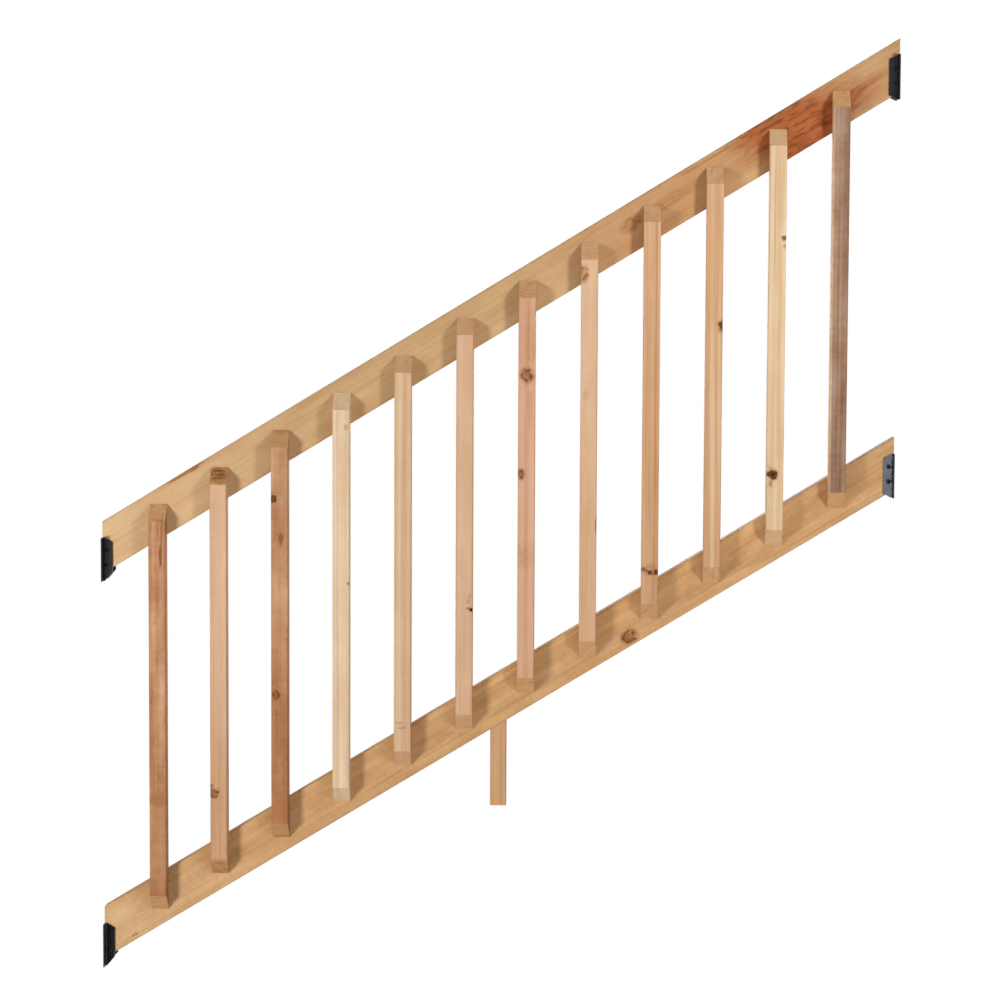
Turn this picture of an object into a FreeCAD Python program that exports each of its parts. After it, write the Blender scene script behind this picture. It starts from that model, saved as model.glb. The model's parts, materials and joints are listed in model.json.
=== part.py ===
import FreeCAD, Part
import os
from math import cos, floor, radians, sqrt, tan

from FreeCAD import Vector

# Stair balustrade panel in cedar.
# Two rails rake up the stair. Square balusters with bevelled ends are screwed to the rails' front faces,
# a short block props the bottom rail at mid-length, and steel angle brackets on both faces of every rail
# end fasten the panel between two posts.
# X runs up the stair, Z is up and the balusters are on the -Y side. The origin is the middle of the post
# leg of the front bracket at the bottom rail's lower end, on the face that lies against the post.

# Driving dimensions, in millimetres and degrees
PITCH = 31.4
RAIL_LENGTH = 1828.8
RAIL_DEPTH = 88.9
RAIL_THICKNESS = 38.1
RAIL_EASING = 3.0

BALUSTER_LENGTH = 812.8
BALUSTER_SIDE = 33.3
BALUSTER_SPACING = 121.4
BALUSTER_INSET = 33.4
BALUSTER_EASING = 2.0
BEVEL_ANGLE = 45.0
BEVEL_NOSE = 1.0
LEAST_END_SPACE = 75.0

BLOCK_SIDE = 31.75
BLOCK_HEIGHT = 162.0
BLOCK_EASING = 2.0
BLOCK_OFFSET = 6.5

BRACKET_LENGTH = 87.0
BRACKET_LEG = 20.6
BRACKET_GAUGE = 2.7
BRACKET_BEND = 2.0
BRACKET_CORNER = 1.5
BRACKET_DROP = 23.0
HEAD_CLIP = 9.0
LOWER_FOOT_CLIP = 19.0
UPPER_FOOT_CLIP = 8.5

SCREW_HOLE = 5.5
SCREW_SPACING = 29.0
RAIL_SCREW_RISE = 3.0

# Room that a cutting solid takes beyond the surface it cuts
CUT_ROOM = 5.0

# Sizes and places that follow from the driving dimensions
SLOPE = tan(radians(PITCH))
RUN = RAIL_LENGTH * cos(radians(PITCH))
RAIL_PLUMB = RAIL_DEPTH / cos(radians(PITCH))
RAIL_FRONT = BRACKET_LEG / 2
RAIL_BACK = RAIL_FRONT + RAIL_THICKNESS
RAIL_FOOT = BRACKET_DROP - RAIL_PLUMB / 2
RAILS_APART = BALUSTER_LENGTH + 2 * BALUSTER_INSET - RAIL_PLUMB

BALUSTER_COUNT = floor((RUN - 2 * LEAST_END_SPACE) / BALUSTER_SPACING) + 1
END_SPACE = (RUN - (BALUSTER_COUNT - 1) * BALUSTER_SPACING) / 2
BALUSTER_FRONT = RAIL_FRONT - BALUSTER_SIDE

BLOCK_X = RUN / 2 + BLOCK_OFFSET
BLOCK_FRONT = RAIL_FRONT + (RAIL_THICKNESS - BLOCK_SIDE) / 2
BLOCK_FOOT = RAIL_FOOT + BLOCK_X * SLOPE - BLOCK_HEIGHT

BEND_OUTSIDE = BRACKET_BEND + BRACKET_GAUGE
HOLE_INSET = BRACKET_LEG / 2


def prism(points, depth):
    """A solid from a closed outline of points, pushed along the vector depth."""
    return Part.Face(Part.makePolygon(points + points[:1])).extrude(depth)


def eased_bar(corner, size, along, easing):
    """A rectangular bar with its long edges, those parallel to along, rounded over."""
    bar = Part.makeBox(size.x, size.y, size.z, corner)
    long_edges = [edge for edge in bar.Edges if edge.tangentAt(0).cross(along).Length < 1e-6]
    return bar.makeFillet(easing, long_edges)


def rail(foot):
    """A rail whose underside starts at height foot, raked to the pitch and cut plumb at both ends."""
    overrun = RAIL_DEPTH * (1 + SLOPE)
    start = Vector(-overrun, RAIL_FRONT, 0)
    size = Vector(RAIL_LENGTH + 2 * overrun, RAIL_THICKNESS, RAIL_DEPTH)
    bar = eased_bar(start, size, Vector(1, 0, 0), RAIL_EASING)
    bar.rotate(Vector(0, 0, 0), Vector(0, 1, 0), -PITCH)
    bar.translate(Vector(0, 0, foot))
    rise = RUN * SLOPE + RAIL_PLUMB + 2 * CUT_ROOM
    plumb_cuts = Part.makeBox(RUN, RAIL_THICKNESS + 2 * CUT_ROOM, rise,
                              Vector(0, RAIL_FRONT - CUT_ROOM, foot - CUT_ROOM))
    return bar.common(plumb_cuts).Solids[0]


def baluster(middle):
    """A plumb baluster centred at x = middle, with both ends bevelled down to the back face."""
    left = middle - BALUSTER_SIDE / 2
    bottom = RAIL_FOOT + middle * SLOPE + BALUSTER_INSET
    top = bottom + BALUSTER_LENGTH
    size = Vector(BALUSTER_SIDE, BALUSTER_SIDE, BALUSTER_LENGTH)
    bar = eased_bar(Vector(left, BALUSTER_FRONT, bottom), size, Vector(0, 0, 1), BALUSTER_EASING)
    nose = RAIL_FRONT - BEVEL_NOSE
    outside = BALUSTER_FRONT - CUT_ROOM
    fall = (nose - outside) * tan(radians(BEVEL_ANGLE))
    width = Vector(BALUSTER_SIDE + 2 * CUT_ROOM, 0, 0)
    for end, inward in ((top, -1), (bottom, 1)):
        outline = [Vector(left - CUT_ROOM, nose, end),
                   Vector(left - CUT_ROOM, outside, end + inward * fall),
                   Vector(left - CUT_ROOM, outside, end - inward * CUT_ROOM),
                   Vector(left - CUT_ROOM, nose, end - inward * CUT_ROOM)]
        bar = bar.cut(prism(outline, width))
    return bar.Solids[0]


def support_block():
    """The block under the bottom rail: a square foot, and a top cut to the pitch against the rail."""
    left = BLOCK_X - BLOCK_SIDE / 2
    height = BLOCK_HEIGHT + BLOCK_SIDE * SLOPE
    size = Vector(BLOCK_SIDE, BLOCK_SIDE, height)
    bar = eased_bar(Vector(left, BLOCK_FRONT, BLOCK_FOOT), size, Vector(0, 0, 1), BLOCK_EASING)
    above_rail = BLOCK_FOOT + height + CUT_ROOM
    start = left - CUT_ROOM
    end = left + BLOCK_SIDE + CUT_ROOM
    before = BLOCK_FRONT - CUT_ROOM
    outline = [Vector(start, before, RAIL_FOOT + start * SLOPE),
               Vector(end, before, RAIL_FOOT + end * SLOPE),
               Vector(end, before, above_rail),
               Vector(start, before, above_rail)]
    return bar.cut(prism(outline, Vector(0, BLOCK_SIDE + 2 * CUT_ROOM, 0))).Solids[0]


def angle_section():
    """The bracket's L section: the rail leg along +X, the post leg along -Y, and a bend between them."""
    leg, gauge, bend, outside = BRACKET_LEG, BRACKET_GAUGE, BRACKET_BEND, BEND_OUTSIDE
    outer_mid = outside - outside / sqrt(2)
    inner_mid = outside - bend / sqrt(2)
    outer_bend = Part.Arc(Vector(0, -outside, 0), Vector(outer_mid, -outer_mid, 0), Vector(outside, 0, 0))
    inner_bend = Part.Arc(Vector(outside, -gauge, 0), Vector(inner_mid, -inner_mid, 0),
                          Vector(gauge, -outside, 0))
    rail_leg = Part.makePolygon([Vector(outside, 0, 0), Vector(leg, 0, 0), Vector(leg, -gauge, 0),
                                 Vector(outside, -gauge, 0)])
    post_leg = Part.makePolygon([Vector(gauge, -outside, 0), Vector(gauge, -leg, 0), Vector(0, -leg, 0),
                                 Vector(0, -outside, 0)])
    edges = [outer_bend.toShape()] + rail_leg.Edges + [inner_bend.toShape()] + post_leg.Edges
    return Part.Face(Part.Wire(edges))


def corner_clip(end, inward, clip):
    """The wedge that cuts one corner off the rail leg, from the bend out to the free edge."""
    reach = BRACKET_LEG + CUT_ROOM
    fall = clip * (reach - BEND_OUTSIDE) / (BRACKET_LEG - BEND_OUTSIDE)
    outline = [Vector(BEND_OUTSIDE, CUT_ROOM, end),
               Vector(reach, CUT_ROOM, end + inward * fall),
               Vector(reach, CUT_ROOM, end - inward * CUT_ROOM),
               Vector(BEND_OUTSIDE, CUT_ROOM, end - inward * CUT_ROOM)]
    return prism(outline, Vector(0, -2 * CUT_ROOM - BRACKET_GAUGE, 0))


def bracket(foot_clip):
    """An angle bracket for a lower front corner, with its bend at the origin and its length centred there."""
    half = BRACKET_LENGTH / 2
    plate = angle_section().extrude(Vector(0, 0, BRACKET_LENGTH))
    plate.translate(Vector(0, 0, -half))
    plate = plate.cut(corner_clip(half, -1, HEAD_CLIP))
    plate = plate.cut(corner_clip(-half, 1, foot_clip)).Solids[0]
    free_corners = [edge for edge in plate.Edges
                    if abs(edge.Length - BRACKET_GAUGE) < 1e-6
                    and max(edge.CenterOfMass.x, -edge.CenterOfMass.y) > BRACKET_LEG - 1e-6]
    plate = plate.makeFillet(BRACKET_CORNER, free_corners)
    for side in (-1, 1):
        height = side * SCREW_SPACING / 2
        rail_hole = Part.makeCylinder(SCREW_HOLE / 2, BRACKET_GAUGE + 2 * CUT_ROOM,
                                      Vector(HOLE_INSET, CUT_ROOM, height + RAIL_SCREW_RISE), Vector(0, -1, 0))
        post_hole = Part.makeCylinder(SCREW_HOLE / 2, BRACKET_GAUGE + 2 * CUT_ROOM,
                                      Vector(-CUT_ROOM, -HOLE_INSET, height), Vector(1, 0, 0))
        plate = plate.cut(rail_hole).cut(post_hole)
    return plate.Solids[0]


def rail_brackets(rail_name, lift):
    """The four brackets of one rail: front and back at its lower end, and the same at its upper end."""
    centre = Vector(0, 0, 0)
    brackets = {}
    for end, foot_clip, post in (("lower", LOWER_FOOT_CLIP, 0), ("upper", UPPER_FOOT_CLIP, RUN)):
        for side, face in (("front", RAIL_FRONT), ("back", RAIL_BACK)):
            plate = bracket(foot_clip)
            if end == "upper":
                plate = plate.mirror(centre, Vector(1, 0, 0))
            if side == "back":
                plate = plate.mirror(centre, Vector(0, 1, 0))
            plate.translate(Vector(post, face, lift + post * SLOPE))
            brackets[f"{rail_name}_bracket_{end}_{side}"] = plate
    return brackets


nodes = {"bottom_rail": rail(RAIL_FOOT), "top_rail": rail(RAIL_FOOT + RAILS_APART)}
for number in range(BALUSTER_COUNT):
    nodes[f"baluster_{number + 1:02d}"] = baluster(END_SPACE + number * BALUSTER_SPACING)
nodes["support_block"] = support_block()
nodes.update(rail_brackets("bottom_rail", 0))
nodes.update(rail_brackets("top_rail", RAILS_APART))

os.makedirs("parts", exist_ok=True)
for name, shape in nodes.items():
    shape.exportStep(f"parts/{name}.step")
    print(f"{name}: {shape.Volume / 1000:.1f} cm3")
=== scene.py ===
# %% [markdown]
# # A cedar stair balustrade panel
# The panel is a ready-made piece of railing: two sloping rails, twelve upright balusters screwed to the
# front of them, a small block that props the middle, and black angle brackets for the posts. The solids
# come from the CAD model, at their real size and place. This lesson gives them their wood and their paint,
# adds the screws, and sets up the studio that they are seen in.

# %% Load the frame
import json
from functools import partial
from math import atan2, cos, pi, radians, sin

import bpy
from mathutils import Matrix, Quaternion, Vector


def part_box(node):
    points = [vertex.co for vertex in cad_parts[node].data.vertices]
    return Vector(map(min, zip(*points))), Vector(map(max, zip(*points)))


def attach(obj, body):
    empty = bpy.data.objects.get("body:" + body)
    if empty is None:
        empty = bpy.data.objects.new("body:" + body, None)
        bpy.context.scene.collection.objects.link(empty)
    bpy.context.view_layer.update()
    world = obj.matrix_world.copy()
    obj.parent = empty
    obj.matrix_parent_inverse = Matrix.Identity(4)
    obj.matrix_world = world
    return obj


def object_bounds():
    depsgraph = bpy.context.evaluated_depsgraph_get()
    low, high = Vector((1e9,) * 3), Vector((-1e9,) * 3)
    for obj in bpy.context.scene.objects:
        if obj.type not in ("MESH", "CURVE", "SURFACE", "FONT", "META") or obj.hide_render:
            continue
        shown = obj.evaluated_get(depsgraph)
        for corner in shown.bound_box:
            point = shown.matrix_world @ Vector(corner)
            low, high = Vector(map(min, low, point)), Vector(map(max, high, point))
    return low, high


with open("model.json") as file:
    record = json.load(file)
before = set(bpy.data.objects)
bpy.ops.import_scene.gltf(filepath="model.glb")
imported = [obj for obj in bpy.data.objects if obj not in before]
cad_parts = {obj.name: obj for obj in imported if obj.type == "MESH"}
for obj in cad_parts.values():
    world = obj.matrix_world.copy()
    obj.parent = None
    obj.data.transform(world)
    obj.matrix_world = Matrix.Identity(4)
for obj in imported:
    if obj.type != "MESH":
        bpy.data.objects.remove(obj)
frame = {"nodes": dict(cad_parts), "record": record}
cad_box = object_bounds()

nodes = frame["nodes"]
print("nodes:", len(nodes))

# %% [markdown]
# ## Where things are
# Everything is measured from the frame, so the looks follow the solids. The origin lies on the lower post's
# face, so the place of the upper post's face gives the slope of the stair, and each piece's box gives its
# own corner. A board's grain runs along the board, so every piece also needs to know which way it points.

# %% Measure the frame
mount_place = {mount["name"]: Vector(mount["pos_m"]) for mount in frame["record"]["mounts"]}
upper_face = mount_place["upper_post_face"]
pitch = atan2(upper_face.z, upper_face.x)
up_the_stair = Vector((cos(pitch), 0, sin(pitch)))
straight_up = Vector((0, 0, 1))
rail_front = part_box("bottom_rail")[0].y
rail_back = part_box("bottom_rail")[1].y
panel_low, panel_high = cad_box
panel_middle = (panel_low + panel_high) / 2
baluster_names = sorted(name for name in nodes if name.startswith("baluster"))
bracket_names = sorted(name for name in nodes if "bracket" in name)
print(f"pitch {pitch * 180 / pi:.1f} degrees, {len(baluster_names)} balusters, {len(bracket_names)} brackets")

# %% [markdown]
# ## Small helpers for shader nodes
# A material is a graph of nodes. Adding each node by hand takes several lines, so these helpers add one
# node, set what is constant and link what isn't. With them a formula reads from top to bottom, like a sum
# on paper.


# %% Node helpers
def add(tree, kind, inputs=None, **settings):
    """Add a shader node, set its properties, and set or link its inputs by name or number."""
    made = tree.nodes.new("ShaderNode" + kind)
    for name, value in settings.items():
        setattr(made, name, value)
    for key, value in (inputs or {}).items():
        if isinstance(value, bpy.types.NodeSocket):
            tree.links.new(value, made.inputs[key])
        else:
            made.inputs[key].default_value = value
    return made


def calc(tree, operation, *values):
    """A sum on single numbers."""
    return add(tree, "Math", dict(enumerate(values)), operation=operation).outputs[0]


def rest_of(tree, share):
    """What a share leaves of 1."""
    return calc(tree, "SUBTRACT", 1.0, share)


def vector_calc(tree, operation, *values):
    """A sum on vectors."""
    return add(tree, "VectorMath", dict(enumerate(values)), operation=operation).outputs[0]


def scaled(tree, vector, amount):
    """A vector times a number."""
    return add(tree, "VectorMath", {0: vector, "Scale": amount}, operation="SCALE").outputs[0]


def length(tree, vector):
    """How long a vector is."""
    return add(tree, "VectorMath", {0: vector}, operation="LENGTH").outputs["Value"]


def split(tree, vector):
    """The X, Y and Z of a vector."""
    return add(tree, "SeparateXYZ", {0: vector}).outputs


def ease(tree, value, low, high):
    """A smooth step from 0 at low to 1 at high."""
    inputs = {"Value": value, "From Min": low, "From Max": high}
    return add(tree, "MapRange", inputs, interpolation_type="SMOOTHSTEP").outputs[0]


def mix(tree, amount, first, second):
    """A blend of two colours."""
    return add(tree, "Mix", {0: amount, 6: first, 7: second}, data_type="RGBA").outputs[2]


# %% [markdown]
# Noise nodes make clouds of values between 0 and 1. Stretching the coordinates first makes the clouds long
# or short along each axis, and a seed of its own gives every board other clouds. A swing is the same noise
# as a vector, moved so that it lies about zero and can push coordinates either way.

# %% Noise and groups
MIDDLE_GREY = (0.5, 0.5, 0.5)


def noise(tree, vector, stretch, seed, detail=2.0):
    """Cloudy noise, with its features stretched along each axis, as (number, colour) outputs."""
    stretched = vector_calc(tree, "MULTIPLY", vector, stretch)
    inputs = {"Vector": stretched, "W": seed, "Scale": 1.0, "Detail": detail}
    return add(tree, "TexNoise", inputs, noise_dimensions="4D").outputs


def swing(tree, vector, stretch, seed, detail):
    """Noise as a vector about zero."""
    return vector_calc(tree, "SUBTRACT", noise(tree, vector, stretch, seed, detail)[1], MIDDLE_GREY)


def new_group(name, inputs, outputs):
    """An empty node group with named sockets, as (tree, what comes in, what goes out)."""
    group = bpy.data.node_groups.new(name, "ShaderNodeTree")
    for socket, kind in inputs.items():
        group.interface.new_socket(socket, in_out="INPUT", socket_type="NodeSocket" + kind)
    for socket, kind in outputs.items():
        group.interface.new_socket(socket, in_out="OUTPUT", socket_type="NodeSocket" + kind)
    return group, group.nodes.new("NodeGroupInput").outputs, group.nodes.new("NodeGroupOutput").inputs


# %% [markdown]
# ## Knots
# A knot is a branch that the trunk grew around. On a board it is a brown disc inside a dark ring of bark,
# with a reddish stain around it, and the grain swerves past it. One node group makes a knot at a given
# place: its core, its rings, its stain, and a bend that later pushes the growth rings aside. A branch gets
# thinner towards the middle of the trunk and leans as it goes, so a knot at the edge of a stick shows as a
# wedge on its side. The edges below are measured in radii of the knot.

# %% Knot group
KNOT_TAPER = 16.0
KNOT_LEAN = 0.35
THINNEST = 0.35
SEED_PER_METRE = 9000.0
RAGGED_STRETCH, RAGGED_DETAIL, RAGGED_PUSH = (0.9, 0.9, 0.9), 3.0, 1.2
PATCHY_STRETCH, PATCHY_SEED = (1.4, 1.4, 1.4), 5.0
CORE_EDGE = (0.7, 1.1)
BARK_INSIDE, BARK_OUTSIDE, BARK_PATCHES = (0.3, 0.75), (0.85, 1.35), (0.3, 0.58)
EYE_INSIDE, EYE_OUTSIDE, EYE_STRENGTH = (0.08, 0.25), (0.32, 0.5), 0.45
STAIN_EDGE, STAIN_PATCHES = (0.7, 1.8), (0.15, 0.65)
EULER, BEND_FALL = 2.718, -0.3


def make_knot_group():
    group, given, result = new_group(
        "Knot",
        {"Vector": "Vector", "Place": "Vector", "Radius": "Float", "Stretch": "Float", "Through": "Float"},
        {"Core": "Float", "Ring": "Float", "Stain": "Float", "Bend": "Float"},
    )
    parts = split(group, vector_calc(group, "SUBTRACT", given["Vector"], given["Place"]))
    depth = calc(group, "MULTIPLY", parts[1], given["Through"])
    thinner = calc(group, "MAXIMUM", calc(group, "MULTIPLY_ADD", depth, -KNOT_TAPER, 1.0), THINNEST)
    radius = calc(group, "MULTIPLY", given["Radius"], thinner)
    across = calc(group, "DIVIDE", parts[0], radius)
    along = calc(group, "MULTIPLY_ADD", depth, KNOT_LEAN, parts[2])
    along = calc(group, "DIVIDE", calc(group, "DIVIDE", along, given["Stretch"]), radius)
    disc = add(group, "CombineXYZ", {0: across, 2: along}).outputs[0]
    seed = calc(group, "MULTIPLY", given["Radius"], SEED_PER_METRE)
    ragged = swing(group, disc, RAGGED_STRETCH, seed, RAGGED_DETAIL)
    disc = vector_calc(group, "ADD", disc, scaled(group, ragged, RAGGED_PUSH))
    distance = length(group, disc)
    patchy = noise(group, disc, PATCHY_STRETCH, calc(group, "ADD", seed, PATCHY_SEED))[0]

    group.links.new(rest_of(group, ease(group, distance, *CORE_EDGE)), result["Core"])
    bark = calc(group, "SUBTRACT", ease(group, distance, *BARK_INSIDE), ease(group, distance, *BARK_OUTSIDE))
    bark = calc(group, "MULTIPLY", bark, ease(group, patchy, *BARK_PATCHES))
    eye = calc(group, "SUBTRACT", ease(group, distance, *EYE_INSIDE), ease(group, distance, *EYE_OUTSIDE))
    eye = calc(group, "MULTIPLY", eye, EYE_STRENGTH)
    group.links.new(calc(group, "MAXIMUM", bark, eye), result["Ring"])
    stain = rest_of(group, ease(group, distance, *STAIN_EDGE))
    group.links.new(calc(group, "MULTIPLY", stain, ease(group, patchy, *STAIN_PATCHES)), result["Stain"])
    fall = calc(group, "MULTIPLY", calc(group, "POWER", distance, 2.0), BEND_FALL)
    bend = calc(group, "MULTIPLY", calc(group, "POWER", EULER, fall), given["Radius"])
    group.links.new(bend, result["Bend"])
    return group


knot_group = make_knot_group()
print("group:", knot_group.name, "with", len(knot_group.nodes), "nodes")

# %% [markdown]
# ## Cedar grain
# Wood grain is the growth rings of a trunk, cut by the faces of a board. So the group asks how far each
# point lies from the middle of the trunk, and turns that distance into rings of pale early wood and
# darker late wood. Because the rings fill space, the long faces get lines, and the cut ends get arcs,
# with no extra work. Noise lets the rings wander, and finer noise makes the fibres. Cut ends soak up dirt,
# so they are darker. First come the numbers: colours, then the layers of noise, then how strongly each
# of them shows.

# %% Cedar numbers
LATE_WOOD = (0.82, 0.70, 0.56)
PATCH_TINT = (0.75, 1.2, 1.5)
FOOT_SHADE = (0.80, 0.70, 0.62)
END_TAN = (0.65, 0.355, 0.155)
KNOT_STAIN = (0.40, 0.155, 0.050, 1)
KNOT_CORE = (0.035, 0.014, 0.006, 1)
KNOT_RING = (0.085, 0.031, 0.011, 1)

# Each layer: its fineness in X, Y and Z, where Z runs along the board; a seed of its own; its detail
GRAIN_LAYERS = {
    "fibre": ((520, 520, 9), 0.0, 2.0),
    "streak": ((170, 170, 1.5), 7.0, 3.0),
    "band": ((80, 80, 1.2), 21.0, 2.0),
    "cloud": ((30, 30, 9), 13.0, 4.0),
    "ripple": ((40, 40, 110), 17.0, 3.0),
    "fleck": ((260, 260, 70), 29.0, 1.0),
    "saw_marks": ((90, 300, 300), 3.0, 3.0),
}
DRIFT_STRETCH, DRIFT_DETAIL = (9, 9, 1.3), 3.0
ACROSS_ONLY = (1, 1, 0)

UNEVEN_PACE, UNEVENNESS = 0.27, 3.2
LATE_RISE, LATE_DROP, LATE_POWER = (0.3, 0.85), (0.86, 1.0), 1.3
BAND_EDGE = (0.42, 0.58)
FIBRE_TINT, STREAK_TINT = (0.9, -0.45), (1.8, -0.85)
CLOUD_PATCH, RIPPLE_PATCH, FLECK_PATCH = 1.5, 0.4, -0.12
FLECK_EDGE = (0.56, 0.72)
FOOT_FADE = (0.12, 0.50)
END_TEXTURE, END_RINGS = (0.5, 0.5), -0.18
KNOT_POWER = 1.5
WOOD_ROUGHNESS = (0.25, 0.55)
LATE_RELIEF, FIBRE_RELIEF = 0.6, 0.6
print("layers of grain:", ", ".join(GRAIN_LAYERS))

# %% [markdown]
# The group is one long sum. It finds the ring that a point lies in, how far into that ring it lies and how
# dark the ring is. Then it tints the wood, lays patches and a darker foot over it, swaps in the end grain on
# cut ends, and puts the knots on top.


# %% Cedar group
def make_cedar_group():
    group, given, result = new_group(
        "Cedar Grain",
        {"Vector": "Vector", "Wood": "Color", "Second Wood": "Color", "Pith": "Vector", "Ring Width": "Float",
         "Wander": "Float", "Contrast": "Float", "Mottle": "Float", "Foot": "Float", "Seed": "Float",
         "End": "Float", "Core": "Float", "Ring": "Float", "Stain": "Float", "Bend": "Float"},
        {"Color": "Color", "Roughness": "Float", "Height": "Float"},
    )
    vector, seed = given["Vector"], given["Seed"]
    layers = {name: noise(group, vector, stretch, calc(group, "ADD", seed, shift), detail)[0]
              for name, (stretch, shift, detail) in GRAIN_LAYERS.items()}

    drift = scaled(group, swing(group, vector, DRIFT_STRETCH, seed, DRIFT_DETAIL), given["Wander"])
    from_pith = vector_calc(group, "SUBTRACT", vector_calc(group, "ADD", vector, drift), given["Pith"])
    radius = length(group, vector_calc(group, "MULTIPLY", from_pith, ACROSS_ONLY))
    radius = calc(group, "ADD", radius, given["Bend"])
    phase = calc(group, "DIVIDE", radius, given["Ring Width"])
    pace = calc(group, "MULTIPLY_ADD", phase, UNEVEN_PACE, seed)
    uneven = add(group, "TexNoise", {"W": pace, "Scale": 1.0}, noise_dimensions="1D").outputs[0]
    phase = calc(group, "MULTIPLY_ADD", uneven, UNEVENNESS, phase)

    in_ring = calc(group, "FRACT", phase)
    late_end = rest_of(group, ease(group, in_ring, *LATE_DROP))
    late = calc(group, "MULTIPLY", ease(group, in_ring, *LATE_RISE), late_end)
    ring_number = calc(group, "ADD", calc(group, "FLOOR", phase), seed)
    ring_strength = add(group, "TexWhiteNoise", {"W": ring_number}, noise_dimensions="1D").outputs["Value"]
    late = calc(group, "MULTIPLY", late, calc(group, "POWER", ring_strength, LATE_POWER))

    wood = mix(group, ease(group, layers["band"], *BAND_EDGE), given["Wood"], given["Second Wood"])
    tint = calc(group, "MULTIPLY", late, given["Contrast"])
    tint = calc(group, "ADD", tint, calc(group, "MULTIPLY_ADD", layers["fibre"], *FIBRE_TINT))
    tint = calc(group, "ADD", tint, calc(group, "MULTIPLY_ADD", layers["streak"], *STREAK_TINT))
    tint = add(group, "Clamp", {0: tint}).outputs[0]
    colour = mix(group, tint, wood, vector_calc(group, "MULTIPLY", wood, LATE_WOOD))

    cloud = calc(group, "SUBTRACT", layers["cloud"], 0.5)
    ripple = calc(group, "SUBTRACT", layers["ripple"], 0.5)
    patches = calc(group, "MULTIPLY_ADD", ripple, RIPPLE_PATCH, calc(group, "MULTIPLY", cloud, CLOUD_PATCH))
    patches = calc(group, "MULTIPLY_ADD", ease(group, layers["fleck"], *FLECK_EDGE), FLECK_PATCH, patches)
    patches = calc(group, "MULTIPLY", patches, given["Mottle"])
    shade = add(group, "CombineXYZ", {axis: calc(group, "MULTIPLY_ADD", patches, strength, 1.0)
                                      for axis, strength in enumerate(PATCH_TINT)}).outputs[0]
    colour = vector_calc(group, "MULTIPLY", colour, shade)
    low_down = rest_of(group, ease(group, split(group, vector)[2], *FOOT_FADE))
    low_down = calc(group, "MULTIPLY", low_down, given["Foot"])
    colour = mix(group, low_down, colour, vector_calc(group, "MULTIPLY", colour, FOOT_SHADE))

    end_grain = calc(group, "ADD", layers["saw_marks"], layers["streak"])
    end_grain = calc(group, "MULTIPLY_ADD", end_grain, *END_TEXTURE)
    end_grain = calc(group, "MULTIPLY_ADD", late, END_RINGS, end_grain)
    colour = mix(group, given["End"], colour, scaled(group, END_TAN, end_grain))
    stain = calc(group, "MAXIMUM", given["Stain"], calc(group, "MAXIMUM", given["Core"], given["Ring"]))
    colour = mix(group, stain, colour, KNOT_STAIN)
    colour = mix(group, calc(group, "POWER", given["Core"], KNOT_POWER), colour, KNOT_CORE)
    colour = mix(group, calc(group, "POWER", given["Ring"], KNOT_POWER), colour, KNOT_RING)

    group.links.new(colour, result["Color"])
    group.links.new(calc(group, "MULTIPLY_ADD", layers["fibre"], *WOOD_ROUGHNESS), result["Roughness"])
    relief = calc(group, "MULTIPLY", layers["fibre"], FIBRE_RELIEF)
    relief = calc(group, "ADD", calc(group, "MULTIPLY", late, LATE_RELIEF), relief)
    group.links.new(calc(group, "SUBTRACT", relief, given["Ring"]), result["Height"])
    return group


cedar_group = make_cedar_group()
print("group:", cedar_group.name, "with", len(cedar_group.nodes), "nodes")

# %% [markdown]
# ## One material for each board
# No two boards come from the same place in the tree. Each gets its own material, but all of them use the
# two groups above, with their own tone, trunk and knots. A Mapping node turns the object's coordinates
# so that Z runs along the board from its lower end, whatever way the board points. A face that looks
# along the board is a cut end, and a dot product with the board's direction finds it. What a board doesn't
# say for itself comes from the plain board.

# %% Cedar material
PLAIN_BOARD = {"front": 0.0, "ring": 0.0055, "wander": 0.012, "contrast": 0.8, "mottle": 0.2, "foot": 0.1,
               "end": 0.65, "knots": (), "marks": ()}
CUT_END_FACING = (0.35, 0.6)
KNOT_BEND = 0.4
GRAIN_BUMP, GRAIN_DEPTH = 0.25, 0.0006
DRY_WOOD_GLOSS = 0.08


def along_board(tree, corner, turn):
    """Coordinates that start at a board's corner, with Z along the board."""
    place = add(tree, "TexCoord").outputs["Object"]
    inputs = {"Vector": place, "Location": corner, "Rotation": turn}
    return add(tree, "Mapping", inputs, vector_type="TEXTURE").outputs[0]


def cut_end(tree, direction):
    """1 on the faces cut across the board, and 0 along it."""
    normal = add(tree, "NewGeometry").outputs["Normal"]
    facing = add(tree, "VectorMath", {0: normal, 1: direction}, operation="DOT_PRODUCT").outputs["Value"]
    return ease(tree, calc(tree, "ABSOLUTE", facing), *CUT_END_FACING)


def knot_sums(tree, vector, board):
    """All the knots of a board, which taper through it, and its marks, which don't. Each of them is (across,
    along, radius, stretch, ring, core, stain), where the last three tell how strongly each part shows."""
    sums = {"Core": 0.0, "Ring": 0.0, "Stain": 0.0, "Bend": 0.0}
    branches = [(1.0, knot) for knot in board["knots"]] + [(0.0, mark) for mark in board["marks"]]
    for through, (across, along, radius, stretch, ring, core, stain) in branches:
        inputs = {"Vector": vector, "Place": (across, board["front"], along), "Radius": radius,
                  "Stretch": stretch, "Through": through}
        knot = add(tree, "Group", inputs, node_tree=knot_group).outputs
        strengths = {"Core": core, "Ring": ring, "Stain": stain, "Bend": KNOT_BEND * max(ring, core)}
        for key, strength in strengths.items():
            part = calc(tree, "MULTIPLY", knot[key], strength)
            sums[key] = calc(tree, "MAXIMUM", sums[key], part)
    return sums


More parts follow.
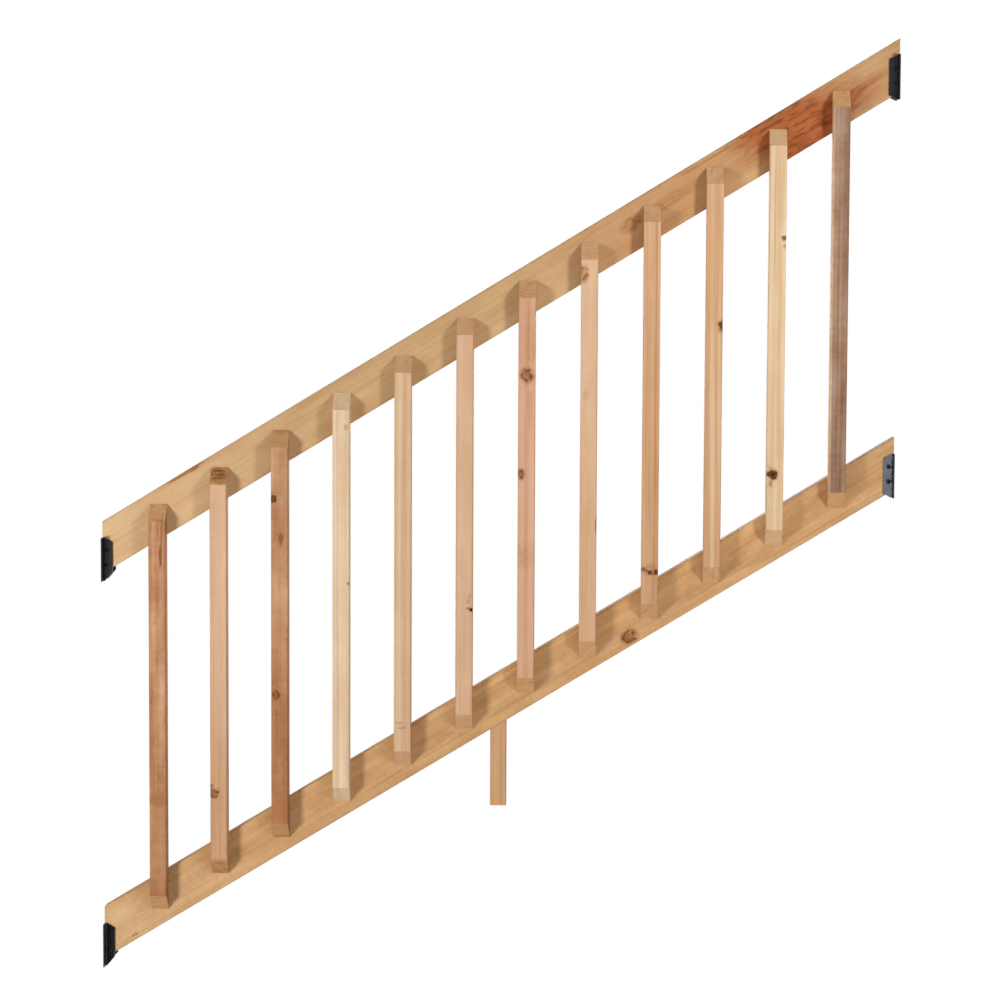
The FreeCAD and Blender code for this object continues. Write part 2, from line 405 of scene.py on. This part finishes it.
def cedar_material(name, corner, turn, direction, board, paint=None):
    """A cedar material for one board; paint may change the tone along the board before the grain is added."""
    board = {**PLAIN_BOARD, **board}
    material = bpy.data.materials.new(name)
    material.use_nodes = True
    tree = material.node_tree
    shader = tree.nodes["Principled BSDF"]
    vector = along_board(tree, corner, turn)
    tones = [(*board["tone"], 1), (*board["second"], 1)]
    if paint:
        tones = [paint(tree, vector, tone) for tone in tones]
    inputs = {"Vector": vector, "Wood": tones[0], "Second Wood": tones[1], "Pith": board["pith"],
              "Ring Width": board["ring"], "Wander": board["wander"], "Contrast": board["contrast"],
              "Mottle": board["mottle"], "Foot": board["foot"], "Seed": board["seed"],
              "End": calc(tree, "MULTIPLY", cut_end(tree, direction), board["end"])}
    inputs.update(knot_sums(tree, vector, board))
    grain = add(tree, "Group", inputs, node_tree=cedar_group).outputs
    bump = add(tree, "Bump", {"Height": grain["Height"], "Strength": GRAIN_BUMP, "Distance": GRAIN_DEPTH})
    tree.links.new(grain["Color"], shader.inputs["Base Color"])
    tree.links.new(grain["Roughness"], shader.inputs["Roughness"])
    tree.links.new(bump.outputs[0], shader.inputs["Normal"])
    shader.inputs["Specular IOR Level"].default_value = DRY_WOOD_GLOSS
    return material


def dress(name, material):
    """Give a CAD node its finished material."""
    node = nodes[name]
    node.data.materials.clear()
    node.data.materials.append(material)


# %% [markdown]
# ## The balusters
# Cedar runs from cream sapwood to brown heartwood, and these balusters were picked from all of it. Twelve
# tones are enough, two to a stick. The pith tells how each stick was sawn: far out to one side gives fine
# straight lines on the front, and far behind gives broad ones. The knots are listed one by one, measured from
# the bottom of the stick and from its middle.

# %% Baluster tones and cuts
IVORY = (0.83, 0.63, 0.43)
CREAM = (0.78, 0.575, 0.37)
STRAW = (0.73, 0.525, 0.325)
BLUSH = (0.72, 0.46, 0.295)
HONEY = (0.70, 0.44, 0.26)
PEACH = (0.70, 0.415, 0.265)
TAN = (0.65, 0.385, 0.215)
ROSE = (0.65, 0.36, 0.225)
CLAY = (0.56, 0.30, 0.165)
RUSSET = (0.515, 0.253, 0.12)
UMBER = (0.30, 0.172, 0.112)
DRIFTWOOD = (0.37, 0.228, 0.155)

EDGE_SAWN = (0.09, -0.02, 0)
RIFT_SAWN = (0.06, 0.05, 0)
FLAT_SAWN = (0.01, 0.07, 0)

BALUSTERS = {
    "baluster_01": {
        "tone": RUSSET, "second": CLAY, "pith": FLAT_SAWN, "mottle": 1.0, "foot": 0.7, "end": 1.0,
        "knots": [
            (0.0075, 0.712, 0.0028, 8.0, 0.6, 0.45, 1.0), (0.0100, 0.760, 0.0020, 14.0, 0.4, 0.2, 0.8),
            (0.0030, 0.770, 0.0016, 14.0, 0.2, 0.0, 0.5), (0.0020, 0.226, 0.0150, 0.7, 0.0, 0.0, 1.0)]},
    "baluster_02": {
        "tone": HONEY, "second": BLUSH, "pith": EDGE_SAWN, "foot": 0.75, "end": 1.0,
        "knots": [
            (-0.0080, 0.166, 0.0078, 1.3, 0.85, 0.3, 1.0), (-0.0140, 0.180, 0.0030, 2.0, 0.9, 0.3, 0.4)],
        "marks": [
            (-0.0020, 0.806, 0.0120, 0.16, 0.0, 0.7, 1.0), (0.0040, 0.799, 0.0130, 0.18, 0.0, 0.6, 1.0),
            (-0.0030, 0.792, 0.0110, 0.16, 0.0, 0.55, 1.0), (0.0, 0.799, 0.0180, 0.70, 0.0, 0.25, 1.0),
            (0.0, 0.010, 0.0200, 0.80, 0.0, 0.0, 0.7)]},
    "baluster_03": {
        "tone": RUSSET, "second": CLAY, "pith": FLAT_SAWN, "mottle": 0.75, "foot": 1.0,
        "knots": [
            (-0.0115, 0.680, 0.0056, 1.4, 1.0, 0.7, 0.8), (0.0030, 0.600, 0.0050, 2.8, 0.2, 0.5, 0.9),
            (-0.0070, 0.290, 0.0075, 1.1, 0.85, 0.3, 1.0), (0.0080, 0.250, 0.0100, 1.3, 0.2, 0.0, 0.4),
            (0.0020, 0.060, 0.0120, 1.6, 0.0, 0.0, 0.5)]},
    "baluster_04": {
        "tone": IVORY, "second": CREAM, "pith": EDGE_SAWN, "contrast": 0.35, "end": 0.25,
        "knots": [
            (0.0145, 0.439, 0.0022, 1.5, 0.7, 0.4, 0.4), (0.0104, 0.747, 0.0040, 1.3, 0.45, 0.0, 0.1)]},
    "baluster_05": {
        "tone": STRAW, "second": BLUSH, "pith": EDGE_SAWN,
        "knots": [
            (-0.0060, 0.089, 0.0060, 0.35, 0.35, 0.0, 0.4), (0.0, 0.079, 0.0070, 0.30, 0.35, 0.0, 0.35)]},
    "baluster_06": {
        "tone": HONEY, "second": BLUSH, "pith": RIFT_SAWN,
        "knots": [
            (0.0150, 0.241, 0.0050, 0.8, 0.6, 1.0, 0.8), (0.0090, 0.244, 0.0034, 0.7, 0.6, 0.2, 0.6),
            (0.0085, 0.258, 0.0030, 1.4, 0.35, 0.1, 0.3), (0.0110, 0.268, 0.0024, 1.4, 0.3, 0.1, 0.3)]},
    "baluster_07": {
        "tone": ROSE, "second": PEACH, "pith": FLAT_SAWN, "end": 0.85,
        "knots": [
            (-0.0002, 0.629, 0.0110, 1.1, 0.8, 0.3, 1.0), (-0.0105, 0.435, 0.0066, 1.4, 0.8, 0.5, 0.9),
            (0.0, 0.277, 0.0150, 1.4, 0.0, 0.0, 0.30)]},
    "baluster_08": {
        "tone": HONEY, "second": BLUSH, "pith": RIFT_SAWN,
        "knots": [
            (-0.0135, 0.753, 0.0100, 1.3, 0.45, 0.0, 0.95), (-0.0065, 0.517, 0.0055, 1.5, 0.0, 0.0, 0.3),
            (0.0160, 0.262, 0.0020, 7.0, 0.6, 0.4, 0.8)]},
    "baluster_09": {
        "tone": TAN, "second": HONEY, "pith": RIFT_SAWN, "foot": 0.4,
        "knots": [
            (-0.0125, 0.102, 0.0036, 1.2, 0.9, 0.5, 0.6), (-0.0060, 0.099, 0.0032, 1.0, 0.8, 0.3, 0.6),
            (0.0005, 0.095, 0.0042, 1.1, 0.6, 0.85, 0.6), (0.0065, 0.094, 0.0034, 1.0, 0.8, 0.3, 0.6),
            (0.0125, 0.096, 0.0040, 1.5, 0.6, 0.85, 0.6), (0.0, 0.100, 0.0170, 0.5, 0.0, 0.0, 0.5)]},
    "baluster_10": {
        "tone": TAN, "second": STRAW, "pith": EDGE_SAWN,
        "knots": [
            (0.0160, 0.505, 0.0080, 1.4, 0.5, 0.85, 0.8)]},
    "baluster_11": {
        "tone": STRAW, "second": CREAM, "pith": FLAT_SAWN, "end": 0.5,
        "knots": [
            (0.0140, 0.602, 0.0058, 0.9, 0.6, 0.7, 0.7), (0.0135, 0.586, 0.0020, 2.0, 0.6, 0.2, 0.5),
            (-0.0050, 0.640, 0.0014, 70.0, 0.15, 0.0, 0.4), (-0.0045, 0.141, 0.0105, 1.0, 1.0, 0.85, 0.4),
            (-0.0045, 0.141, 0.0040, 1.0, 0.0, 1.0, 0.0), (-0.0075, 0.123, 0.0030, 1.6, 0.5, 0.1, 0.5)]},
    "baluster_12": {
        "tone": UMBER, "second": DRIFTWOOD, "pith": RIFT_SAWN, "mottle": 1.0, "end": 1.0},
}
print("knots on the balusters:", sum(len(board.get("knots", ())) for board in BALUSTERS.values()))

# %% [markdown]
# Each baluster's grain starts at the middle of its foot, on the face against the rails. A seed of its own
# keeps its noise apart from the others'. The last stick is brown heartwood with some pale sapwood left
# along one edge.

# %% Paint the balusters
SAPWOOD_EDGE = (-0.0165, -0.0110)
FIRST_SEED, SEED_STEP = 1.3, 3.7


def pale_edge(tree, vector, tone):
    """Brown heartwood with a strip of pale sapwood down its left edge."""
    return mix(tree, ease(tree, split(tree, vector)[0], *SAPWOOD_EDGE), (*HONEY, 1), tone)


for number, name in enumerate(baluster_names):
    low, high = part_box(name)
    foot = Vector(((low.x + high.x) / 2, high.y, low.z))
    board = {"seed": SEED_STEP * number + FIRST_SEED, "front": low.y - high.y, **BALUSTERS[name]}
    paint = pale_edge if board["tone"] == UMBER else None
    dress(name, cedar_material(name + "_cedar", foot, (0, 0, 0), straight_up, board, paint))
print("painted", len(baluster_names), "balusters")

# %% [markdown]
# ## The rails and the block
# The rails are wider boards, sawn flat, so their rings run nearly level with the front face and draw
# long streaks. Towards the upper end of the top rail the cut reaches the red heart of the tree. That
# change of colour is a soft mask along the board, broken up by stretched noise. Where it starts and ends
# is measured in metres along the board.

# %% Changes of colour along a rail
# The pale tan and its two ranges below are painted light: they lighten the rails' lower ends to lift the
# shade there.
PAINTED_LIGHT_TAN = (0.70, 0.46, 0.25, 1)
HEART_RED = (0.43, 0.130, 0.042, 1)
HEART_FLECK = (0.19, 0.045, 0.013, 1)
TOP_PAINTED_LIGHT = {"full": 0.0, "gone": 0.60}
BOTTOM_PAINTED_LIGHT = {"full": -0.30, "gone": 0.50}
BLUSH_ALONG, HEART_ALONG, FADE_ALONG = (0.85, 1.32), (1.50, 1.62), (1.72, 1.90)
BLUSH_STRENGTH, HEART_STRENGTH = 0.28, 0.85
HEART_LEAN = 0.6
RAIL_CENTRE, TONGUE = -0.045, 2.4
BREAK_UP, BREAK_UP_FROM = 1.1, (0.0, 0.3)
BREAK_UP_NOISE = {"stretch": (22, 22, 6.0), "seed": 4.2, "detail": 4.0}
HEART_FLECK_NOISE = {"stretch": (130, 130, 32), "seed": 9.1, "detail": 5.0}
HEART_FLECK_EDGE, HEART_FLECK_STRENGTH = (0.45, 0.64), 0.8


def painted_light_foot(tree, vector, tone, full, gone):
    """Tan wood lightened by painted light near the board's lower end, fully up to full, and no longer at
    gone.
    """
    return mix(tree, ease(tree, split(tree, vector)[2], full, gone), PAINTED_LIGHT_TAN, tone)


def red_heart(tree, vector, tone):
    """Tan wood that turns red towards the board's upper end, with dark flecks where it is reddest, and
    painted light near its lower end.
    """
    tone = painted_light_foot(tree, vector, tone, **TOP_PAINTED_LIGHT)
    across, _, along = split(tree, vector)
    along = calc(tree, "MULTIPLY_ADD", across, -HEART_LEAN, along)
    blush = calc(tree, "MULTIPLY", ease(tree, along, *BLUSH_ALONG), BLUSH_STRENGTH)
    from_centre = calc(tree, "ABSOLUTE", calc(tree, "SUBTRACT", across, RAIL_CENTRE))
    tip = calc(tree, "MULTIPLY_ADD", from_centre, TONGUE, along)
    heart = calc(tree, "SUBTRACT", ease(tree, along, *HEART_ALONG), ease(tree, tip, *FADE_ALONG))
    reach = calc(tree, "MULTIPLY_ADD", heart, HEART_STRENGTH, blush)
    broken = calc(tree, "SUBTRACT", noise(tree, vector, **BREAK_UP_NOISE)[0], 0.5)
    amount = calc(tree, "MULTIPLY_ADD", broken, BREAK_UP, reach)
    amount = add(tree, "Clamp", {0: amount}).outputs[0]
    amount = calc(tree, "MULTIPLY", amount, ease(tree, reach, *BREAK_UP_FROM))
    fleck = ease(tree, noise(tree, vector, **HEART_FLECK_NOISE)[0], *HEART_FLECK_EDGE)
    fleck = calc(tree, "MULTIPLY", calc(tree, "MULTIPLY", fleck, heart), HEART_FLECK_STRENGTH)
    return mix(tree, fleck, mix(tree, amount, tone, HEART_RED), HEART_FLECK)


# %% [markdown]
# The rails lean with the stair, so their grain is turned by the pitch. Knots on a rail are measured from its
# bottom edge, towards the top edge with a minus sign, and from its lower end. The block is a short stick like
# the balusters.

# %% Paint the rails and the block
RAIL_TAN = (0.592, 0.374, 0.188)
RAIL_SAND = (0.602, 0.388, 0.193)
RAIL_GOLD = (0.597, 0.350, 0.166)
RAIL_AMBER = (0.648, 0.371, 0.166)
BLOCK_TAN = (0.65, 0.37, 0.20)
BLOCK_SAND = (0.66, 0.39, 0.215)
TOP_PITH = (-0.05, 0.09, 0)
BOTTOM_PITH = (-0.042, 0.075, 0)
rail_turn = (0, pi / 2 - pitch, 0)

top_board = {
    "tone": RAIL_TAN, "second": RAIL_SAND, "pith": TOP_PITH, "seed": 61.0, "ring": 0.006, "wander": 0.045,
    "mottle": 0.3, "foot": 0.0, "contrast": 0.25,
    "knots": [(-0.0860, 0.245, 0.0028, 14.0, 0.3, 0.0, 1.0), (-0.0850, 0.268, 0.0036, 3.0, 0.6, 0.0, 1.0),
              (-0.050, 1.255, 0.0110, 1.8, 0.15, 0.0, 0.9), (-0.050, 1.345, 0.0090, 4.0, 0.0, 0.0, 0.7),
              (-0.080, 1.450, 0.0022, 28.0, 0.1, 0.0, 0.7), (-0.083, 1.615, 0.0055, 8.0, 0.6, 0.0, 1.0)]}
bottom_board = {
    "tone": RAIL_GOLD, "second": RAIL_AMBER, "pith": BOTTOM_PITH, "seed": 74.0, "ring": 0.005, "wander": 0.05,
    "mottle": 0.55, "foot": 0.0, "contrast": 0.5,
    "knots": [(-0.0175, 1.236, 0.0120, 1.2, 0.75, 0.25, 1.0), (-0.010, 0.078, 0.0030, 1.8, 0.5, 0.1, 0.5),
              (-0.085, 0.77, 0.0040, 5.0, 0.1, 0.0, 0.6)]}
block_board = {"tone": BLOCK_TAN, "second": BLOCK_SAND, "pith": EDGE_SAWN, "seed": 88.0, "mottle": 0.15}


def rail_corner(name):
    """The low front corner of a rail's box, where its grain starts."""
    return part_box(name)[0]


# Both rails get painted light at their lower ends.
dress("top_rail", cedar_material("top_rail_cedar", rail_corner("top_rail"), rail_turn, up_the_stair,
                                 top_board, red_heart))
dress("bottom_rail", cedar_material("bottom_rail_cedar", rail_corner("bottom_rail"), rail_turn, up_the_stair,
                                    bottom_board, partial(painted_light_foot, **BOTTOM_PAINTED_LIGHT)))
block_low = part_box("support_block")[0]
dress("support_block", cedar_material("support_block_cedar", block_low, (0, 0, 0), straight_up, block_board))
print("painted two rails and the block")

# %% [markdown]
# ## Black powder coat
# The brackets are steel, dusted with paint powder and baked. The coat is nearly black, smooth but with a
# faint orange-peel texture, so its highlights are soft. Fine noise drives the bump, and slower noise
# changes the gloss a little from place to place. The front edge of the post legs was sheared, and stays
# dull.

# %% Bracket material
BRACKET_BLACK, BRACKET_ROUGHNESS = (0.007, 0.007, 0.009), 0.13
COOL_GLOSS = (0.88, 0.91, 1.0, 1)
PEEL_STRETCH, PEEL_SEED = (900, 900, 900), 2.0
PEEL_BUMP, PEEL_DEPTH = 0.05, 0.0003
HAZE_STRETCH, HAZE_SEED = (60, 60, 60), 5.0
HAZE_LIGHTENS, HAZE_ROUGHENS = 2.2, 0.08
EDGE_BLEND = 0.0008
EDGE_DULLNESS = 0.5


def powder_coat(name, colour, base_roughness, edge=None):
    """A baked paint finish: a dark colour, uneven gloss and a fine orange-peel bump. In front of y = edge it
    is dull, as on a sheared edge."""
    material = bpy.data.materials.new(name)
    material.use_nodes = True
    tree = material.node_tree
    shader = tree.nodes["Principled BSDF"]
    place = add(tree, "TexCoord").outputs["Object"]
    peel = noise(tree, place, PEEL_STRETCH, PEEL_SEED)[0]
    haze = noise(tree, place, HAZE_STRETCH, HAZE_SEED)[0]
    hazy_colour = [HAZE_LIGHTENS * channel for channel in colour]
    tree.links.new(mix(tree, haze, (*colour, 1), (*hazy_colour, 1)), shader.inputs["Base Color"])
    roughness = calc(tree, "MULTIPLY_ADD", haze, HAZE_ROUGHENS, base_roughness)
    if edge is not None:
        dull = rest_of(tree, ease(tree, split(tree, place)[1], edge, edge + EDGE_BLEND))
        roughness = calc(tree, "MULTIPLY_ADD", dull, EDGE_DULLNESS, roughness)
    tree.links.new(roughness, shader.inputs["Roughness"])
    shader.inputs["Specular Tint"].default_value = COOL_GLOSS
    bump = add(tree, "Bump", {"Height": peel, "Strength": PEEL_BUMP, "Distance": PEEL_DEPTH})
    tree.links.new(bump.outputs[0], shader.inputs["Normal"])
    return material


post_leg_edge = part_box("bottom_rail_bracket_upper_front")[0].y
bracket_paint = powder_coat("black_powder_coat", BRACKET_BLACK, BRACKET_ROUGHNESS, post_leg_edge)
for name in bracket_names:
    dress(name, bracket_paint)
print("painted", len(bracket_names), "brackets")

# %% [markdown]
# ## Screws
# Two black screws hold each bracket to its rail. A screw head is a squat disc with a rounded rim and a
# square socket for the driver. It starts as a cylinder, its top edge is bevelled, and a box cuts the
# socket. One head is modelled and copied to every hole, and the copies are joined into one piece.

# %% Screw head
HEAD_RADIUS = 0.0046
HEAD_HEIGHT = 0.0026
HEAD_SIDES = 32
SOCKET_SIDE = 0.0030
SOCKET_DEPTH = 0.0016
RIM_SHARE, RIM_STEPS = 0.55, 4
TOP_SHARE = 0.99
SMOOTH_UNDER = radians(40)


def model_screw_head(radius, height, socket, depth):
    """One screw head standing on the origin, with its socket upwards."""
    bpy.ops.object.select_all(action="DESELECT")
    bpy.ops.mesh.primitive_cube_add(size=socket, location=(0, 0, height + socket / 2 - depth))
    cutter = bpy.context.object
    bpy.ops.mesh.primitive_cylinder_add(vertices=HEAD_SIDES, radius=radius, depth=height,
                                        location=(0, 0, height / 2))
    head = bpy.context.object
    bpy.ops.object.transform_apply(location=True, rotation=False, scale=False)
    bpy.ops.object.mode_set(mode="EDIT")
    bpy.ops.mesh.select_mode(type="EDGE")
    bpy.ops.mesh.select_all(action="DESELECT")
    bpy.ops.object.mode_set(mode="OBJECT")
    for edge in head.data.edges:
        edge.select = all(head.data.vertices[v].co.z > height * TOP_SHARE for v in edge.vertices)
    bpy.ops.object.mode_set(mode="EDIT")
    bpy.ops.mesh.bevel(offset=height * RIM_SHARE, segments=RIM_STEPS, affect="EDGES")
    bpy.ops.object.mode_set(mode="OBJECT")
    cut = head.modifiers.new("socket", "BOOLEAN")
    cut.object = cutter
    cut.operation = "DIFFERENCE"
    bpy.ops.object.modifier_apply(modifier=cut.name)
    bpy.data.objects.remove(cutter)
    bpy.ops.object.shade_smooth_by_angle(angle=SMOOTH_UNDER)
    return head


bracket_screw = model_screw_head(HEAD_RADIUS, HEAD_HEIGHT, SOCKET_SIDE, SOCKET_DEPTH)
print("screw head:", len(bracket_screw.data.polygons), "faces")

# %% [markdown]
# Copies of a head are turned to stand on their face, moved to their holes, and joined. Applying the
# transform puts their place into the mesh, so the finished piece sits at the origin like the CAD nodes.

# %% Place the bracket screws
PLATE_GAUGE = 0.0027
SCREW_SPACING = 0.029
SCREW_RISE = 0.003
SCREW_BLACK, SCREW_ROUGHNESS = (0.006, 0.006, 0.007), 0.45


def set_out(template, places, name):
    """Copies of a screw at (place, turn about X) pairs, joined as one piece called name."""
    bpy.ops.object.select_all(action="DESELECT")
    copies = []
    for place, turn in places:
        copy = template.copy()
        copy.data = template.data.copy()
        copy.location = place
        copy.rotation_euler = (turn, 0, 0)
        bpy.context.collection.objects.link(copy)
        copy.select_set(True)
        copies.append(copy)
    bpy.context.view_layer.objects.active = copies[0]
    bpy.ops.object.join()
    piece = bpy.context.object
    piece.name = name
    bpy.ops.object.transform_apply(location=True, rotation=True, scale=True)
    bpy.data.objects.remove(template)
    print(name, "has", len(places), "heads,", len(piece.data.polygons), "faces")
    return piece


bracket_holes = []
for name in bracket_names:
    low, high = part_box(name)
    hole_x = (low.x + high.x) / 2
    middle_z = (low.z + high.z) / 2 + SCREW_RISE
    for side in (-1, 1):
        height = middle_z + side * SCREW_SPACING / 2
        if "front" in name:
            bracket_holes.append((Vector((hole_x, rail_front - PLATE_GAUGE, height)), pi / 2))
        else:
            bracket_holes.append((Vector((hole_x, rail_back + PLATE_GAUGE, height)), -pi / 2))
bracket_screws = set_out(bracket_screw, bracket_holes, "bracket_screws")
bracket_screws.data.materials.append(powder_coat("black_screw", SCREW_BLACK, SCREW_ROUGHNESS))
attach(bracket_screws, "root")

# %% [markdown]
# ## Screws behind the balusters
# Each baluster is held by one screw at each rail, driven from behind so that none shows on the front.
# The heads are flat and sunk almost level with the wood, so only a thin disc with its socket stands out.

# %% Place the baluster screws
FLAT_HEAD_RADIUS = 0.0042
FLAT_HEAD_PROUD = 0.0006
FLAT_SOCKET_DEPTH = FLAT_HEAD_PROUD * 0.8
SCREW_GREY, GREY_ROUGHNESS = (0.10, 0.085, 0.07), 0.4
RAIL_DEPTH = 0.0889
rail_plumb_depth = RAIL_DEPTH / cos(pitch)

flat_screw = model_screw_head(FLAT_HEAD_RADIUS, FLAT_HEAD_PROUD, SOCKET_SIDE, FLAT_SOCKET_DEPTH)
baluster_holes = []
for name in baluster_names:
    low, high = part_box(name)
    middle_x = (low.x + high.x) / 2
    for rail_name in ("bottom_rail", "top_rail"):
        rail_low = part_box(rail_name)[0].z
        height = rail_low + middle_x * up_the_stair.z / up_the_stair.x + rail_plumb_depth / 2
        baluster_holes.append((Vector((middle_x, rail_back, height)), -pi / 2))
baluster_screws = set_out(flat_screw, baluster_holes, "baluster_screws")
baluster_screws.data.materials.append(powder_coat("grey_coated_screw", SCREW_GREY, GREY_ROUGHNESS))
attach(baluster_screws, "root")

# %% [markdown]
# ## The studio
# The panel hangs clear of the ground, as it would between two posts, above a wide pale floor. Close to the
# panel the floor keeps a little of its shadow; further out it turns to plain white for the camera, so it
# meets the white backdrop with no line. Black paint mirrors what it faces, so only what stands behind the
# panel is white in a reflection, as in a studio with a white back wall.

# %% Floor
WHITE = (1, 1, 1, 1)
FLOOR_DROP = 0.6
FLOOR_SIZE = 40.0
FLOOR_GREY, FLOOR_ROUGHNESS = (0.6, 0.6, 0.6, 1), 0.9
WHITENING = (0.9, 1.6)
NEAR_WHITE = 0.7
FLOOR_BEHIND = (-0.5, 0.5)


def seen_rays(tree, behind):
    """1 for the rays that show the background: camera rays, and those from gloss and glass that go behind."""
    rays = add(tree, "LightPath").outputs
    mirrored = calc(tree, "MAXIMUM", rays["Is Glossy Ray"], rays["Is Transmission Ray"])
    return calc(tree, "MAXIMUM", rays["Is Camera Ray"], calc(tree, "MULTIPLY", mirrored, behind))


def show_white(tree, amount, plain, white, output):
    """Let a white shader show in place of the plain one, by an amount."""
    blend = add(tree, "MixShader", {0: amount, 1: plain.outputs[0], 2: white.outputs[0]})
    tree.links.new(blend.outputs[0], output.inputs["Surface"])


bpy.ops.object.select_all(action="DESELECT")
bpy.ops.mesh.primitive_plane_add(size=FLOOR_SIZE, location=(panel_middle.x, 0, panel_low.z - FLOOR_DROP))
floor = bpy.context.object
floor.name = "floor"

floor_paint = bpy.data.materials.new("pale_floor")
floor_paint.use_nodes = True
tree = floor_paint.node_tree
shader = tree.nodes["Principled BSDF"]
shader.inputs["Base Color"].default_value = FLOOR_GREY
shader.inputs["Roughness"].default_value = FLOOR_ROUGHNESS
spot = vector_calc(tree, "MULTIPLY", add(tree, "TexCoord").outputs["Object"], ACROSS_ONLY)
behind = ease(tree, split(tree, spot)[1], *FLOOR_BEHIND)
far = ease(tree, length(tree, spot), *WHITENING)
whiteness = calc(tree, "MULTIPLY_ADD", far, 1 - NEAR_WHITE, NEAR_WHITE)
white = add(tree, "Emission", {"Color": WHITE, "Strength": 1.0})
show_white(tree, calc(tree, "MULTIPLY", whiteness, seen_rays(tree, behind)), shader, white,
           tree.nodes["Material Output"])
floor.data.materials.append(floor_paint)
print("floor", FLOOR_DROP, "m below the panel")

# %% [markdown]
# The world is the backdrop. The camera sees it white, but as a light it is dim, so that the softboxes make
# the shadows.

# %% Backdrop
AMBIENT = 0.085
BACKDROP_BEHIND = (-0.1, 0.1)

world = bpy.data.worlds.new("studio")
bpy.context.scene.world = world
world.use_nodes = True
tree = world.node_tree
ambient = tree.nodes["Background"]
ambient.inputs["Color"].default_value = WHITE
ambient.inputs["Strength"].default_value = AMBIENT
backdrop = add(tree, "Background", {"Color": WHITE, "Strength": 1.0})
direction = add(tree, "TexCoord").outputs["Generated"]
behind = ease(tree, split(tree, direction)[1], *BACKDROP_BEHIND)
show_white(tree, seen_rays(tree, behind), ambient, backdrop, tree.nodes["World Output"])
print("ambient light", AMBIENT)

# %% [markdown]
# ## Lights
# Two softboxes stand in front of the panel, one to each side. Each throws a soft shadow of every baluster
# on the rails, so the middle ones have a shadow on both sides. The right one has a grid that narrows its
# beam, and it is turned towards the upper end. A third hangs above and lights the bevels, a fourth stands
# behind for the back, and a low fill softens the shadows on the bottom rail, as a pale floor would. Black
# paint shows only what it mirrors, so three small reflectors stand where the brackets mirror them, one of
# them brighter than the others.

# %% Softboxes
# Each light: its place, its size and its power
LIGHTS = {
    "left_softbox": ((-1.15, -1.92, 0.46), 0.50, 41.0),
    "right_softbox": ((2.75, -2.20, 1.34), 0.45, 9.1),
    "top_softbox": ((0.78, -0.55, 3.40), 1.6, 16.3),
    "back_softbox": ((0.78, 2.4, 1.50), 1.2, 34.0),
    "small_reflector": ((1.718, -1.8, 0.82), 0.25, 1.3),
    "left_reflector": ((-0.29, -1.8, 0.59), 0.25, 0.16),
    "high_reflector": ((1.72, -1.8, 1.83), 0.25, 0.14),
    "low_fill": ((1.30, -1.20, -0.50), 1.2, 8.5),
}
BEAM_AIM = Vector((1.25, 0, 1.55))
BEAM_SPREAD = radians(80)

for name, (place, size, power) in LIGHTS.items():
    target = BEAM_AIM if name == "right_softbox" else Vector((panel_middle.x, 0, panel_middle.z))
    aim = target - Vector(place)
    bpy.ops.object.light_add(type="AREA", location=place, rotation=aim.to_track_quat("-Z", "Y").to_euler())
    light = bpy.context.object
    light.name = name
    light.data.size = size
    light.data.energy = power
    if name == "right_softbox":
        light.data.spread = BEAM_SPREAD
print("lights:", ", ".join(LIGHTS))

# %% [markdown]
# ## Camera
# The camera stands six metres back, a little to the right and a little above, with a long lens, so the
# balusters stay almost parallel. The numbers come from lining up the rails' edges with the view.

# %% Camera
AIM = Vector((0.7887, 0.0103, 0.8990))
DISTANCE = 6.0
AZIMUTH, ELEVATION, ROLL = radians(2.0), radians(4.72), radians(0.27)
SENSOR_WIDTH = 36.0
FRAME_WIDTHS_AWAY = 3.0428

backwards = Vector((sin(AZIMUTH) * cos(ELEVATION), -cos(AZIMUTH) * cos(ELEVATION), sin(ELEVATION)))
turn = (-backwards).to_track_quat("-Z", "Y") @ Quaternion((0, 0, 1), ROLL)
bpy.ops.object.camera_add(location=AIM + backwards * DISTANCE, rotation=turn.to_euler())
camera = bpy.context.object
camera.data.sensor_width = SENSOR_WIDTH
camera.data.lens = SENSOR_WIDTH * FRAME_WIDTHS_AWAY
bpy.context.scene.camera = camera
bpy.context.scene.view_settings.view_transform = "Standard"
print(f"lens {camera.data.lens:.1f} mm")
